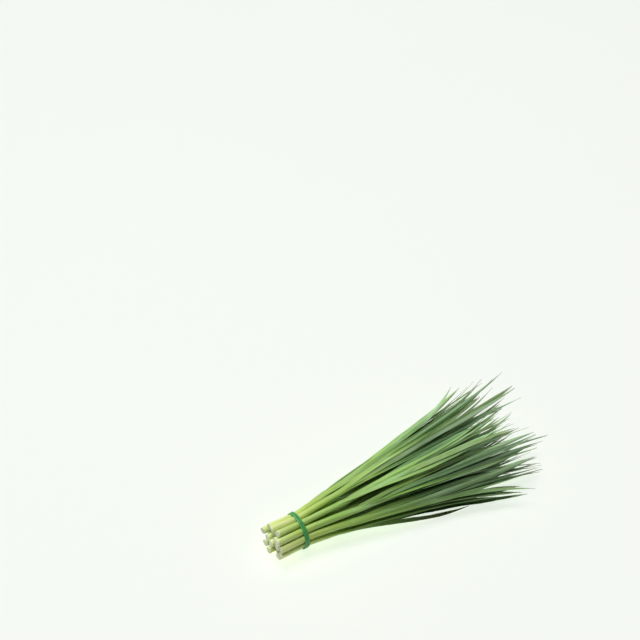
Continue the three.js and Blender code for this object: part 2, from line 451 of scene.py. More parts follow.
class Sheet:
    """Adds nodes to one node tree, from left to right."""

    def __init__(self, tree):
        self.tree = tree
        self.tree.nodes.clear()

    def feed(self, socket, value):
        if isinstance(value, bpy.types.NodeSocket):
            self.tree.links.new(value, socket)
        elif socket.type == "RGBA":
            socket.default_value = (*value[:3], 1)
        else:
            socket.default_value = value

    def add(self, kind, inputs=None, **settings):
        node = self.tree.nodes.new(kind)
        node.location = (190 * len(self.tree.nodes), 0)
        for name, value in settings.items():
            setattr(node, name, value)
        for socket, value in (inputs or {}).items():
            self.feed(node.inputs[socket], value)
        return node

    def mark(self, name):
        """A value that the mesh holds at each of its points."""
        return self.add("ShaderNodeAttribute", attribute_name=name).outputs["Fac"]

    def direction(self, name):
        """A vector that the mesh holds at each of its points."""
        return self.add("ShaderNodeAttribute", attribute_name=name).outputs["Vector"]

    def maths(self, operation, a, b=0.0, c=0.0):
        node = self.add("ShaderNodeMath", {0: a, 1: b, 2: c}, operation=operation)
        return node.outputs[0]

    def between(self, value, low, high, to_low=0.0, to_high=1.0):
        """A value eased from to_low at low to to_high at high."""
        node = self.add("ShaderNodeMapRange", interpolation_type="SMOOTHSTEP", inputs={
            "Value": value, "From Min": low, "From Max": high,
            "To Min": to_low, "To Max": to_high})
        return node.outputs[0]

    def times(self, a, b):
        return self.maths("MULTIPLY", a, b)

    def mix(self, share, a, b, blend="MIX"):
        node = self.add("ShaderNodeMix", {0: share, 6: a, 7: b},
                        data_type="RGBA", blend_type=blend)
        return node.outputs[2]

    def linear(self, value, factor, start):
        """The value times a factor, from a start."""
        return self.maths("MULTIPLY_ADD", value, factor, start)

    def cover(self, colour, over, mask, strength):
        """A colour with another over it, where the mask says and as strongly as asked."""
        return self.mix(self.times(mask, strength), colour, over)

    def tint(self, colour, factors, mask, strength):
        """A colour whose channels are multiplied by factors, in the same way."""
        return self.mix(self.times(mask, strength), colour, factors, "MULTIPLY")

    def scaled(self, vector, scale):
        node = self.add("ShaderNodeVectorMath", {0: vector, 1: scale}, operation="MULTIPLY")
        return node.outputs[0]

    def noise(self, vector, detail=2.0, roughness=0.5, distortion=0.0):
        node = self.add("ShaderNodeTexNoise", {
            "Vector": vector, "Scale": 1.0, "Detail": detail,
            "Roughness": roughness, "Distortion": distortion})
        return node.outputs["Fac"]

    def ramp(self, value, stops):
        node = self.add("ShaderNodeValToRGB", {0: value})
        elements = node.color_ramp.elements
        while len(elements) < len(stops):
            elements.new(1.0)
        for element, (place, colour) in zip(elements, stops):
            element.position = place
            element.color = (*colour[:3], 1)
        return node.outputs["Color"]

    def effect(self, tree, inputs):
        """Places a shared node group with its own values, and returns what it puts out."""
        node = self.add("ShaderNodeGroup", node_tree=tree)
        for socket, value in inputs.items():
            self.feed(node.inputs[socket], value)
        return node.outputs


FLOAT, VECTOR, COLOUR = "NodeSocketFloat", "NodeSocketVector", "NodeSocketColor"


def node_group(name, inputs, outputs, build):
    """A shader node group, built on its first use. Build gets its sheet and its inputs, and
    returns what goes to each of its outputs."""
    tree = bpy.data.node_groups.get(name)
    if tree:
        return tree
    tree = bpy.data.node_groups.new(name, "ShaderNodeTree")
    for title, (kind, default) in inputs.items():
        socket = tree.interface.new_socket(name=title, in_out="INPUT", socket_type=kind)
        if kind != VECTOR:
            socket.default_value = default
    for title, kind in outputs.items():
        tree.interface.new_socket(name=title, in_out="OUTPUT", socket_type=kind)
    sheet = Sheet(tree)
    entry = sheet.add("NodeGroupInput")
    made = build(sheet, entry.outputs)
    leave = sheet.add("NodeGroupOutput")
    for title, value in made.items():
        sheet.feed(leave.inputs[title], value)
    return tree


def fibres():
    """Fine parallel veins along a leaf or shank: a height for the bump and a mask of streaks."""
    def build(sheet, given):
        spacing = sheet.maths("DIVIDE", 1.0, given["Spacing"])
        parts = sheet.add("ShaderNodeSeparateXYZ", {0: given["Grain"]}).outputs
        wander = sheet.noise(sheet.scaled(given["Grain"], (60, 40, 40)), 1.0)
        across = sheet.linear(wander, given["Spacing"], parts[0])
        turn = sheet.times(sheet.times(across, spacing), math.tau)
        veins = sheet.linear(sheet.maths("SINE", turn), 0.5, 0.5)
        fine = sheet.noise(sheet.scaled(given["Grain"], (4200, 70, 60)), 2.0, 0.6)
        broad = sheet.noise(sheet.scaled(given["Grain"], (900, 22, 60)), 3.0, 0.55)
        height = sheet.linear(fine, 0.8, veins)
        return {"Height": height, "Streak": sheet.between(broad, 0.38, 0.66), "Vein": veins}

    return node_group(
        "Leek fibres", {"Grain": (VECTOR, None), "Spacing": (FLOAT, 0.5 * MM)},
        {"Height": FLOAT, "Streak": FLOAT, "Vein": FLOAT}, build)


def bloom():
    """Thin patches of wax or dust, and small specks rubbed into them."""
    def build(sheet, given):
        scale = sheet.maths("DIVIDE", 1.0, given["Patch"])
        cloud = sheet.add("ShaderNodeVectorMath", {0: given["Grain"], "Scale": scale},
                          operation="SCALE").outputs[0]
        patches = sheet.noise(sheet.scaled(cloud, (1.0, 0.28, 1.0)), 4.0, 0.6, 0.3)
        covered = sheet.maths("SUBTRACT", 1.0, given["Cover"])
        mask = sheet.between(patches, sheet.maths("SUBTRACT", covered, 0.16),
                             sheet.maths("ADD", covered, 0.16))
        grains = sheet.noise(sheet.scaled(given["Grain"], (2600, 1500, 900)), 2.0, 0.7)
        specks = sheet.between(grains, 0.66, 0.74)
        return {"Wax": mask, "Specks": specks}

    return node_group(
        "Leek bloom",
        {"Grain": (VECTOR, None), "Patch": (FLOAT, 9 * MM), "Cover": (FLOAT, 0.5)},
        {"Wax": FLOAT, "Specks": FLOAT}, build)


def greens(settings):
    """The colour of a leek by its distance from the cut end, warmer or cooler with its tone."""
    def build(sheet, given):
        wander = sheet.noise(sheet.scaled(given["Grain"], (120, 26, 60)), 2.0)
        shift = sheet.linear(wander, 24 * MM, -12 * MM)
        tone_shift = sheet.linear(given["Tone"], -44 * MM, 22 * MM)
        along = sheet.maths("ADD", given["Along"], sheet.maths("ADD", shift, tone_shift))
        share = sheet.maths("DIVIDE", along, LEEK_LENGTH)
        base = sheet.ramp(share, [
            (0.0, settings.root), (0.1, settings.tie), (0.24, settings.shank),
            (0.4, settings.mouth), (0.62, settings.blade), (1.0, settings.end)])
        warmth = sheet.between(given["Tone"], 0.5, 1.0, 0.0, 0.55)
        warm = sheet.mix(warmth, base, (1.18, 1.08, 0.62), "MULTIPLY")
        coolness = sheet.between(given["Tone"], 0.5, 0.0, 0.0, 0.6)
        return {"Color": sheet.mix(coolness, warm, (0.8, 0.92, 1.12), "MULTIPLY")}

    return node_group(
        "Leek greens",
        {"Grain": (VECTOR, None), "Along": (FLOAT, 0.1), "Tone": (FLOAT, 0.5)},
        {"Color": COLOUR}, build)


# ---------------------------------------------------------------------------------------
# Materials


def new_material(name):
    material = bpy.data.materials.new(name)
    material.use_nodes = True
    return material, Sheet(material.node_tree)


def fibrous_material(name, spacing, patch, cover):
    """A new material, with its sheet, its grain, and the veins and the bloom along the grain."""
    material, sheet = new_material(name)
    grain = sheet.direction("grain")
    lines = sheet.effect(fibres(), {"Grain": grain, "Spacing": spacing})
    wax = sheet.effect(bloom(), {"Grain": grain, "Patch": patch, "Cover": cover})
    return material, sheet, grain, lines, wax


def leek_green(sheet, grain, colours):
    """The green of a leek at each point of its mesh."""
    return sheet.effect(greens(colours), {
        "Grain": grain, "Along": sheet.mark("along"), "Tone": sheet.mark("tone")})["Color"]


def finish_material(sheet, colour, roughness, height, bump_height, **constants):
    """Joins a colour, a roughness and a height to the shader, whose plain numbers stay on it."""
    bump = sheet.add("ShaderNodeBump", {"Height": height})
    bump.inputs["Distance"].default_value = bump_height
    bump.inputs["Strength"].default_value = 1.0
    shader = sheet.add("ShaderNodeBsdfPrincipled", {
        "Base Color": colour, "Roughness": roughness, "Normal": bump.outputs[0]})
    for socket, value in constants.items():
        shader.inputs[socket.replace("_", " ")].default_value = value
    sheet.add("ShaderNodeOutputMaterial", {"Surface": shader.outputs[0]})


def leaf_material(name, colours, bloom_cover):
    """A green leaf with veins, a waxy bloom, a dry tip, a paler midrib and margins that carry
    painted highlight, and painted shade on young leaves deep in the fan.
    """
    material, sheet, grain, lines, wax = fibrous_material(
        name, 0.62 * MM, 11 * MM, bloom_cover)
    inner = sheet.mark("inner")
    across = sheet.maths("ABSOLUTE", sheet.mark("across"))
    dry = sheet.mark("dry")
    opened = sheet.mark("open")
    # The pale mark is each leaf's own random lightness; on young leaves it also holds painted
    # shade, darker the deeper they lie in the fan.
    paler = sheet.between(sheet.mark("pale"), 0.0, 1.0, 0.68, 1.56)

    colour = leek_green(sheet, grain, colours)
    colour = sheet.tint(colour, (0.78, 0.86, 0.7), lines["Streak"], 0.5)
    colour = sheet.tint(colour, (1.22, 1.2, 1.15), lines["Vein"], 0.22)
    colour = sheet.tint(colour, (1.2, 1.16, 0.95), inner, 0.3)
    waxy = sheet.between(opened, 0.0, 1.0, 0.1, 0.42)
    colour = sheet.cover(colour, colours.bloom, wax["Wax"], waxy)
    # Painted highlight: the midrib is painted paler, partly its own paler colour and partly a
    # painted highlight along it.
    midrib = sheet.between(across, 0.11, 0.03, 0.0, 0.4)
    colour = sheet.tint(colour, (1.45, 1.35, 1.2), midrib, opened)
    # Painted highlight: the margins are painted paler, partly their own thin pale edge and partly a
    # painted highlight along them.
    margin = sheet.between(across, 0.84, 0.98, 0.0, 0.55)
    colour = sheet.tint(colour, (1.3, 1.25, 1.1), margin, opened)
    colour = sheet.cover(colour, colours.bloom, wax["Specks"], 0.25)
    colour = sheet.mix(dry, sheet.scaled(colour, paler), colours.dry)

    rough = sheet.linear(wax["Wax"], 0.16, 0.44)
    rough = sheet.linear(dry, 0.22, rough)
    rough = sheet.linear(inner, -0.05, rough)
    finish_material(sheet, colour, rough, lines["Height"], 0.05 * MM,
                    Coat_Weight=0.12, Coat_Roughness=0.35)
    return material


def shank_material(settings, colours):
    """A pale shank with fine stripes, whose cut face shows its coats."""
    material, sheet, grain, lines, wax = fibrous_material(
        "leek_shank", 0.8 * MM, 7 * MM, 0.42)
    cut = sheet.mark("cut")
    old = sheet.mark("old")

    colour = leek_green(sheet, grain, colours)
    colour = sheet.tint(colour, (0.8, 0.9, 0.66), lines["Streak"], 0.7)
    colour = sheet.tint(colour, (1.14, 1.12, 1.05), lines["Vein"], 0.25)
    colour = sheet.tint(colour, (1.16, 1.12, 1.0), old, 0.45)
    colour = sheet.cover(colour, colours.bloom, wax["Wax"], 0.1)
    flesh = sheet.mix(sheet.mark("layer"), settings.cut_colour, settings.ring_colour)
    pores = sheet.noise(sheet.scaled(grain, (3000, 3000, 3000)), 2.0)
    flesh = sheet.mix(sheet.between(pores, 0.55, 0.7, 0.0, 0.3), flesh, (0.88, 0.92, 0.7),
                      "MULTIPLY")
    colour = sheet.mix(cut, colour, flesh)

    rough = sheet.linear(wax["Wax"], 0.14, 0.34)
    rough = sheet.linear(cut, 0.06, rough)
    height = sheet.linear(sheet.times(pores, cut), 2.0, lines["Height"])
    finish_material(sheet, colour, rough, height, 0.05 * MM,
                    Coat_Weight=0.18, Coat_Roughness=0.3)
    return material


def rubber_material(settings):
    """Satin rubber with faint mould lines along the strand and dust in them."""
    material, sheet, _, lines, dust = fibrous_material(
        "green_rubber", 0.9 * MM, 4 * MM, 0.4)
    colour = sheet.tint(settings.colour, (0.7, 0.76, 0.72), lines["Streak"], 0.4)
    colour = sheet.cover(colour, settings.dust, dust["Wax"], 0.22)
    colour = sheet.cover(colour, settings.dust, dust["Specks"], 0.35)
    rough = sheet.linear(dust["Wax"], 0.18, 0.42)
    finish_material(sheet, colour, rough, lines["Height"], 0.04 * MM,
                    Specular_IOR_Level=0.45)
    return material


def table_material(settings):
    """A plain matt table with the faintest mottling."""
    material, sheet = new_material("pale_table")
    places = sheet.add("ShaderNodeTexCoord").outputs["Object"]
    cloud = sheet.noise(sheet.scaled(places, (3, 3, 3)), 3.0)
    colour = sheet.cover(settings.table_colour, (0.93, 0.95, 0.93), cloud, 0.04)
    grit = sheet.noise(sheet.scaled(places, (700, 700, 700)), 2.0)
    finish_material(sheet, colour, sheet.between(cloud, 0.3, 0.7, 0.7, 0.8), grit, 0.02 * MM)
    return material


# ---------------------------------------------------------------------------------------
# Shanks

SHORT = 1.5 * MM  # a shank ends this far inside the mouth of its leaves
COAT_STATIONS = np.linspace(-7, 7, 22) * MM  # extra rings about the end of the old coat
LEAST_STEP = 0.3 * MM  # no two rings of a shank lie closer together
COAT_PAST_BAND = 7 * MM  # the old coat ends at least this far past the band,
COAT_BEFORE_TOP = 32 * MM  # and this far before the mouth, if there is room
COAT_SLANT = 4.5 * MM  # how much further it reaches on one side, and less on the other
COAT_EDGE = 0.4 * MM  # half the length of the step at its end
RIB_WANDER = 30 * MM  # the length along a shank of one radian of its ribs' slow swing
OUT_OF_ROUND = 0.09 * MM  # how far a shank is out of round
OVAL_TURN = 35 * MM  # how far along a shank its oval turns by half a radian
PINCH_REACH = 2.6 * MM  # half the length that the band presses in
TUCK = 0.75 * MM  # how much thinner a shank gets inside the mouth of its leaves,
TUCK_START, TUCK_END = 20 * MM, 12 * MM  # between these two distances from its top
CLOSING = 7 * MM  # the last part of a shank, which narrows towards half its thickness
CUT_ROUNDING = 0.12 * MM  # how far the rim of a cut is rounded off
CUT_REACH = 0.5 * MM  # how far the cut is felt on the side of the shank
HEART_OFF = 0.25 * MM  # how far off the middle the heart of a cut face may be
SLANT_REACH = 9 * MM  # the length over which the rings turn square again past a slanted cut
SHANK_PATTERN = 3.3 * MM  # the radius with which the patterns go round a shank
FACE_PATTERN = 10 * MM  # how far aside the pattern of a cut face is taken


def shank_stations(settings, cut, top, coat_end):
    """Places along a shank, closer together where the old coat ends."""
    even = np.linspace(cut, top, settings.stations)
    close = coat_end + COAT_STATIONS
    places = np.concatenate([even, close[(close > cut) & (close < top)]])
    places = np.unique(places.round(5))
    return places[np.append(True, np.diff(places) > LEAST_STEP)]


def shank_body(name, shank, settings, band_x, rng):
    """One shank, with a cut face that shows its coats and the oblique end of an old coat."""
    cut, top = shank.cut, shank.top
    soonest = band_x + COAT_PAST_BAND
    coat_end = rng.uniform(soonest, max(soonest + 2 * MM, top - COAT_BEFORE_TOP))
    coat_lean = rng.uniform(0, math.tau)
    phases = rng.uniform(0, math.tau, 3)
    slant = np.tan(rng.uniform(-settings.cut_slant, settings.cut_slant, 2))

    x = shank_stations(settings, cut, top - SHORT, coat_end)
    middle, wide, deep, across = (
        follow(shank.middle, values, x)
        for values in (shank.middle, shank.wide, shank.deep, shank.across))
    _, across, out = frame_along(middle, across)
    angle = np.arange(settings.sides) * math.tau / settings.sides
    edge = coat_end + COAT_SLANT * np.cos(angle + coat_lean)
    old = 1 - ease(x[:, None], edge - COAT_EDGE, edge + COAT_EDGE)
    grown = shank_relief(shank, settings, band_x, x[:, None], angle, phases)
    grown += settings.coat_thickness * old
    narrowed = 1 - 0.5 * ease(x[:, None], top - CLOSING, top)
    rings = (middle[:, None]
             + moved(across, (wide[:, None] + grown) * narrowed * np.cos(angle))
             + moved(out, (deep[:, None] + grown) * narrowed * np.sin(angle)))

    face, places, layers = cut_face(rings[0], middle[0], across[0], out[0], settings, rng)
    rings = np.concatenate([face, rings])
    lean = (rings - middle[0]) @ (slant[0] * across[0] + slant[1] * out[0])
    rings[..., 0] += lean * (1 - ease(rings[..., 0], cut, cut + SLANT_REACH))

    flat = len(face)
    x = np.append(np.full(flat, cut), x)
    grain = np.stack(np.broadcast_arrays(
        angle * SHANK_PATTERN, x[:, None], PATTERN_STEP * shank.number), axis=-1).copy()
    grain[:flat, :, :2] = places
    return loft(name, rings, {
        "grain": grain,
        "along": (x - cut)[:, None],
        "tone": leek_tone(shank.number),
        "cut": 1 - ease(x, cut, cut + CUT_REACH)[:, None],
        "layer": np.append(layers, np.zeros(len(x) - flat))[:, None],
        "old": np.concatenate([np.ones((flat, settings.sides)), old]),
    })


def shank_relief(shank, settings, band_x, x, angle, phases):
    """How far a shank stands out from its CAD stem: fine ribs and an uneven round, less at the
    rim of its cut, at the band and inside the mouth of its leaves."""
    drift, oval, rib_phase = phases
    ribs = settings.rib_height * np.cos(
        settings.ribs * angle + rib_phase + 0.6 * np.sin(x / RIB_WANDER + drift))
    uneven = OUT_OF_ROUND * np.cos(2 * angle + oval + x / OVAL_TURN)
    pinch = settings.band_pinch * np.exp(-((x - band_x) / PINCH_REACH) ** 4)
    inside = TUCK * ease(x, shank.top - TUCK_START, shank.top - TUCK_END)
    rounding = CUT_ROUNDING * np.exp(-(x - shank.cut) / CUT_REACH)
    return ribs + uneven - pinch - inside - rounding


def cut_face(rim, middle, across, out, settings, rng):
    """The rings of a cut face, from its heart out to the rim, where each of their points lies
    in the pattern, and how clearly each ring shows the line between two coats."""
    shares, depths, layers = cut_profile(settings.layers, rng)
    heart = (middle + across * rng.uniform(-HEART_OFF, HEART_OFF)
             + out * rng.uniform(-HEART_OFF, HEART_OFF))
    face = heart + (rim - heart) * shares[:, None, None]
    face[..., 0] += depths[:, None]
    places = np.stack([FACE_PATTERN + (face - heart) @ across, (face - heart) @ out], axis=-1)
    return face, places, layers


def cut_profile(coats, rng):
    """Shares of the radius, depths and ring marks of a cut face, from its heart to its rim."""
    rows = [(0.03, 0.1 * MM, 0.3)]
    for i in range(1, coats + 1):
        edge = (i / coats) ** 0.8 * rng.uniform(0.94, 1.0) if i < coats else 1.0
        inner = rows[-1][0] + 0.02
        level = rng.uniform(-0.14, 0.1) * MM
        rows += [(lerp(inner, edge, 0.35), level, 0.0), (lerp(inner, edge, 0.75), level, 0.12)]
        if i < coats:  # a groove, between this coat and the next
            rows += [(edge - 0.035, level * 0.4 + 0.04 * MM, 0.5), (edge, 0.16 * MM, 1.0),
                     (edge + 0.03, 0.03 * MM, 0.4)]
    rows += [(0.955, 0.0, 0.1), (0.985, 0.02 * MM, 0.7)]
    return np.array(sorted(rows)).T


# ---------------------------------------------------------------------------------------
# Leaves

# Where the points of a leaf's section lie, from its one margin, 1, to its other, -1.
HALF_ACROSS = (1, 0.95, 0.87, 0.76, 0.64, 0.52, 0.4, 0.29, 0.19, 0.1, 0.04)
OUTER_ACROSS = np.array([*HALF_ACROSS, 0, *(-a for a in reversed(HALF_ACROSS))])
YOUNG_ACROSS = np.array([1, 0.88, 0.68, 0.46, 0.26, 0.1, 0, -0.1, -0.26, -0.46, -0.68, -0.88, -1])

# How far a tip bends out from the middle of the fan, as a share of its distance from there, on
# the near and the far side, and the share of the leaf's length where that bend starts.
NEAR_ARCH, FAR_ARCH, ARCH_START = 0.15, 0.05, 0.6

# Half the angle that a leaf's section spans, by its distance past the mouth of the leek in mm.
OPENING = ((-30, 1.64), (-8, 1.56), (6, 1.0), (24, 0.5), (56, 0.3), (130, 0.22), (240, 0.2))

HELD = slice(-4, None)  # the last sections of a CAD stem, which its outer leaves hold
SHEATH_HALF = 5 * MM  # half the width, laid flat, of the sheath that holds a shank
SHEATH_GAP, SHEATH_SIDE_GAP = 0.12 * MM, 0.1 * MM  # how far it stands off the CAD stem
SUNK = 0.45 * MM  # how far the start of a sheath is sunk into the shank,
SUNK_LENGTH = 8 * MM  # and the length over which it comes out
MOUTH_RINGS, MOUTH_LENGTH = 19, 30 * MM  # closer rings, till this far past the shank
WIDENS, LETS_GO = 14 * MM, 8 * MM  # how far before the mouth a sheath starts to do each,
OPENED = 12 * MM  # and how far past the mouth it has done both
POINT_LENGTH = 6 * MM  # the last part of an outer leaf, over which it comes to a point
TIP_HALF = 0.1 * MM  # half the width that a leaf keeps at its very tip
LEAD_IN = 8 * MM  # how far back inside its shank a young leaf, or the dry one, starts

CREASE = 0.08  # how round the fold of a leaf is, as a share of half its width
ROLLS = (26 * MM, 44 * MM)  # the shortest and the longest waves of a margin
RIPPLES = 13 * MM  # the length of the small waves on them
PLEATS = 3.5  # the soft pleats on each half of a leaf
THINNING = 0.62  # how much thinner a leaf is at its margins
MIDRIB_HALF = 0.42 * MM  # half the width of the midrib
BACK_RIB = 0.4  # how far it shows on the inside of the leaf, as a share of its height outside
RIM = 0.6  # how far a margin is rounded out, as a share of half the thickness there
INNER_PATTERN = 20 * MM  # how far aside the pattern of the inside of a leaf is taken

TIP_START = 0.68  # the share of a leaf's length where its tip starts to bend
MOST_BEND = 1.6  # a tip bends no further than this many usual bends
DRY_LENGTHS = (2, 5, 10, 22)  # how long dry tips are, in mm,
DRY_SHARES = (0.35, 0.35, 0.2, 0.1)  # and the share of the leaves that have each length

# How far a young leaf strays sideways and upwards, along its length and at its tip.
YOUNG_ASIDE, YOUNG_UP = (1.2 * MM, 5.5 * MM), (0.8 * MM, 5 * MM)
YOUNG_REACH = (0.84, 1.05)  # their reach, as a share of that of their leek's longer outer leaf
SLIM_SHARE, SLIM = 0.12, 0.45  # the share of young leaves that are slim, and how slim
YOUNG_RIB, YOUNG_PLEAT, YOUNG_WAVE = 0.15 * MM, 0.03 * MM, 0.18 * MM  # heights, as on a blade
YOUNG_TWIST = math.radians(40)  # how far a young leaf usually turns about its line
FREE = 0.15  # the share of its length past which a leaf no longer leans towards its shank
TALL_ROOM = (24 * MM, 44 * MM)  # with more room over it a young leaf rises less, then not at all


def leek_tone(number):
    """How warm the green of a leek is, from 0 to 1; its leaves start with it."""
    return np.random.default_rng(number).uniform(0.25, 0.75)


def leaf_relief(a, travelled, rng):
    """The waves of a leaf's margins and its long pleats, as shares of their usual height."""
    phases = rng.uniform(0, math.tau, 4)
    rolls = rng.uniform(*ROLLS, 2)
    left, right = (np.sin(math.tau * travelled / rolls[i] + phases[i]) for i in (0, 1))
    ripples = 0.4 * np.sin(math.tau * travelled / RIPPLES + phases[2]) * np.sign(a)
    waves = np.abs(a) ** 3 * (np.where(a > 0, left, right) + ripples)
    pleats = np.cos(math.tau * PLEATS * a + phases[3] * 0.2) * (1 - a ** 2)
    return waves, pleats


def leaf_body(name, line, across, shape, look, rng):
    """One leaf as a thin closed body about its line, which is the outside of its fold. Shape
    holds, at each station, how wide and deep the arc of its section is, its half angle, its
    thickness, fold, rib, pleat and wave, and how far it is twisted."""
    along, across, out = frame_along(line, across)
    across, out = turned(across, along, shape.twist), turned(out, along, shape.twist)
    travelled = np.append(0, np.cumsum(np.linalg.norm(np.diff(line, axis=0), axis=1)))
    a = shape.steps
    wide, deep, half_angle, half_length, thickness, fold, rib, pleat, wave, s = (
        values[:, None] for values in (
            shape.wide, shape.deep, shape.half_angle, shape.half_length, shape.thickness,
            shape.fold, shape.rib, shape.pleat, shape.wave, travelled))
    spread = a * half_angle

    crease = np.sqrt(a ** 2 + CREASE ** 2) - CREASE
    sag = deep * (1 - np.cos(spread)) + fold * crease
    middle = (line[:, None] + moved(across, wide * np.sin(spread))
              - moved(out, sag + thickness / 2))
    normal = moved(out, np.cos(spread)) + moved(across, np.sin(spread))
    edge = moved(across, np.cos(spread)) - moved(out, np.sin(spread))

    waves, pleats = leaf_relief(a, s, rng)
    shift = wave * waves + pleat * pleats
    thick = thickness * (1 - THINNING * a ** 4) / 2
    half = wide * np.sin(np.minimum(half_angle, math.pi / 2))
    midrib = rib * np.exp(-(a * half / MIDRIB_HALF) ** 2)
    outer = middle + normal * (shift + thick + midrib)[..., None]
    inner = middle + normal * (shift - thick + BACK_RIB * midrib)[..., None]
    rim = RIM * thick[..., None] * edge
    centre = middle + normal * shift[..., None]
    rings = np.concatenate(
        [outer, (centre - rim)[:, -1:], inner[:, ::-1], (centre + rim)[:, :1]], axis=1)
    rings[..., 2] += np.maximum(0, TABLE_GAP - rings[..., 2].min(axis=1, keepdims=True))

    ring_across = np.concatenate([a, [-1], a[::-1], [1]])
    side = np.concatenate([np.zeros_like(a), [0.5], np.ones_like(a), [0.5]])
    marks = {mark: getattr(look, mark)[:, None]
             for mark in ("along", "open", "tone", "pale", "dry")}
    marks["grain"] = np.stack(np.broadcast_arrays(
        half_length * ring_across + INNER_PATTERN * side, s, look.offset), axis=-1)
    return loft(name, rings, {**marks, "across": ring_across, "inner": side})


def bend(share, start):
    """How far a leaf has bent at each share of its length: from 0 at the start to 1 at its tip."""
    return np.clip((share - start) / (1 - start), 0, None) ** 2


def stray(share, amount, tip_amount, rng):
    """How far a leaf strays from its line: a slow curve, and a bend over its last part."""
    slow, curl, tip = rng.normal(size=3)
    phase = rng.uniform(0, math.tau)
    curve = amount * share * (0.7 * slow * share
                              + 0.5 * curl * np.sin(math.tau * share + phase))
    return curve + tip_amount * np.clip(tip, -MOST_BEND, MOST_BEND) * bend(share, TIP_START)


def arched(line, share):
    """A leaf's line, whose last part bends outwards from the middle of the fan."""
    arch = np.zeros_like(line)
    most = NEAR_ARCH if line[-1, 1] < 0 else FAR_ARCH
    arch[:, 1] = most * line[-1, 1] * bend(share, ARCH_START)
    return line + arch


def dry_tip(x, tip, rng):
    """How dry a leaf is along its length: only its last millimetres, on some leaves more."""
    length = rng.choice(DRY_LENGTHS, p=DRY_SHARES) * MM
    return ease(x, tip - length, tip - 0.2 * length) * rng.uniform(0.7, 1.0)


def outer_leaf(name, shank, blade, side, settings, number, rng):
    """An outer leaf: its sheath holds the shank, then opens into a long folded blade."""
    top, tip = shank.top, blade.ridge[-1, 0]
    start = top - settings.wrap * rng.uniform(0.8, 1.1)
    opened = top + MOUTH_LENGTH
    x = np.append(np.linspace(start, opened, MOUTH_RINGS + 1)[:-1],
                  np.linspace(opened, tip, settings.stations - MOUTH_RINGS))
    share = np.clip((x - top) / (tip - top), 0, 1)
    line, across = outer_line(shank, blade, side, settings, x, share, rng)
    sunk = SUNK * (1 - ease(x, start, start + SUNK_LENGTH))
    line = line - frame_along(line, across)[2] * sunk[:, None]
    shape = outer_shape(shank, blade, settings, x, share, sunk, rng)
    look = leaf_look(x, shank, tip, shape.half_angle, number, rng)
    return leaf_body(name, line, across, shape, look, rng)


def outer_line(shank, blade, side, settings, x, share, rng):
    """The line of an outer leaf, from the shank that it holds to the end of its CAD leaf, and
    the direction across it."""
    top = shank.top
    shank_out = side * np.cross((1, 0, 0), shank.across[HELD])
    hold = shank.middle[HELD] + shank_out * (shank.deep[HELD, None] + SHEATH_GAP)
    slope = (hold[-1] - hold[0]) / (top - hold[0, 0])
    line = led_out(hold[-1], slope, (2, 3), blade.ridge[1:, 0], blade.ridge[1:], x)
    line = np.where(x[:, None] < top, follow(hold, hold, np.minimum(x, top)), line)
    across = follow(np.vstack([hold, blade.ridge[1:]]),
                    np.vstack([shank.across[HELD], blade.across[1:]]), x)
    across = unit(across) * side
    _, sideways, outwards = frame_along(line, across)
    aside = stray(share, settings.sway, settings.tip_bend, rng)
    outward = stray(share, 0.4 * settings.sway, 0.8 * settings.tip_bend, rng)
    line = line + sideways * aside[:, None] + outwards * outward[:, None]
    return arched(line, share), across


def outer_shape(shank, blade, settings, x, share, sunk, rng):
    """The section of an outer leaf along its length: round the shank, then open and folded."""
    start, top, tip = x[0], shank.top, x[-1]
    past = (x - top) / MM + rng.uniform(-5, 5)  # from the mouth in mm, a little off on each leaf
    places, angles = (np.array(column, float) for column in zip(*OPENING))
    half_angle = smooth_through(places, angles, past)
    half_angle = lerp(half_angle, half_angle * rng.uniform(0.6, 1.5), ease(past, 20, 60))
    blade_half = follow(blade.ridge, blade.half, np.maximum(x, blade.ridge[0, 0]))
    narrowing = lerp(1, settings.narrowing, ease(share, 0.1, 0.5))
    widened = ease(x, top - WIDENS, top + OPENED)
    half_length = lerp(SHEATH_HALF, narrowing * blade_half, widened)
    point = 1 - 0.8 * ease(x, tip - POINT_LENGTH, tip)
    half_length = np.maximum(half_length * point, TIP_HALF)

    clamped = np.minimum(x, top)
    holding = 1 - ease(x, top - LETS_GO, top + OPENED)
    hold_wide = follow(shank.middle, shank.wide, clamped) + SHEATH_SIDE_GAP
    hold_deep = follow(shank.middle, shank.deep, clamped) + SHEATH_GAP
    arc = half_length / half_angle
    return SimpleNamespace(
        steps=OUTER_ACROSS,
        half_angle=half_angle,
        half_length=half_length,
        wide=lerp(arc, hold_wide, holding) - sunk,
        deep=lerp(arc, hold_deep, holding) - sunk,
        thickness=lerp(settings.thickness, settings.tip_thickness, share)
        * lerp(0.6, 1, ease(x, start, top)),
        fold=settings.fold * ease(past, 0, 30) * lerp(1, 0.15, ease(share, 0.5, 1)),
        rib=settings.rib * ease(past, -12, 12) * lerp(1, 0.2, ease(share, 0.5, 1)),
        pleat=settings.pleat * ease(past, 5, 30) * (1 - ease(share, 0.7, 1)),
        wave=settings.wave * ease(past, 10, 60) * np.minimum(1, half_length / (3 * MM)),
        twist=settings.twist * rng.normal() * ease(share, 0.1, 1.0),
    )


def leaf_look(x, shank, tip, half_angle, number, rng):
    """What the leaf's material reads: its place along the leek, how far it is open, its tone,
    which starts with the leek's own, how pale it is, its dry tip, and its own part of the
    patterns."""
    top = shank.top
    return SimpleNamespace(
        along=x - shank.cut,
        open=1 - ease(half_angle, 0.9, 1.5),
        tone=lerp(leek_tone(shank.number), rng.uniform(0, 1), ease(x, top - 5 * MM, top + 60 * MM)),
        pale=lerp(0.4, rng.uniform(0, 1), ease(x, top, top + 50 * MM)),
        dry=dry_tip(x, tip, rng),
        offset=PATTERN_STEP * number,
    )


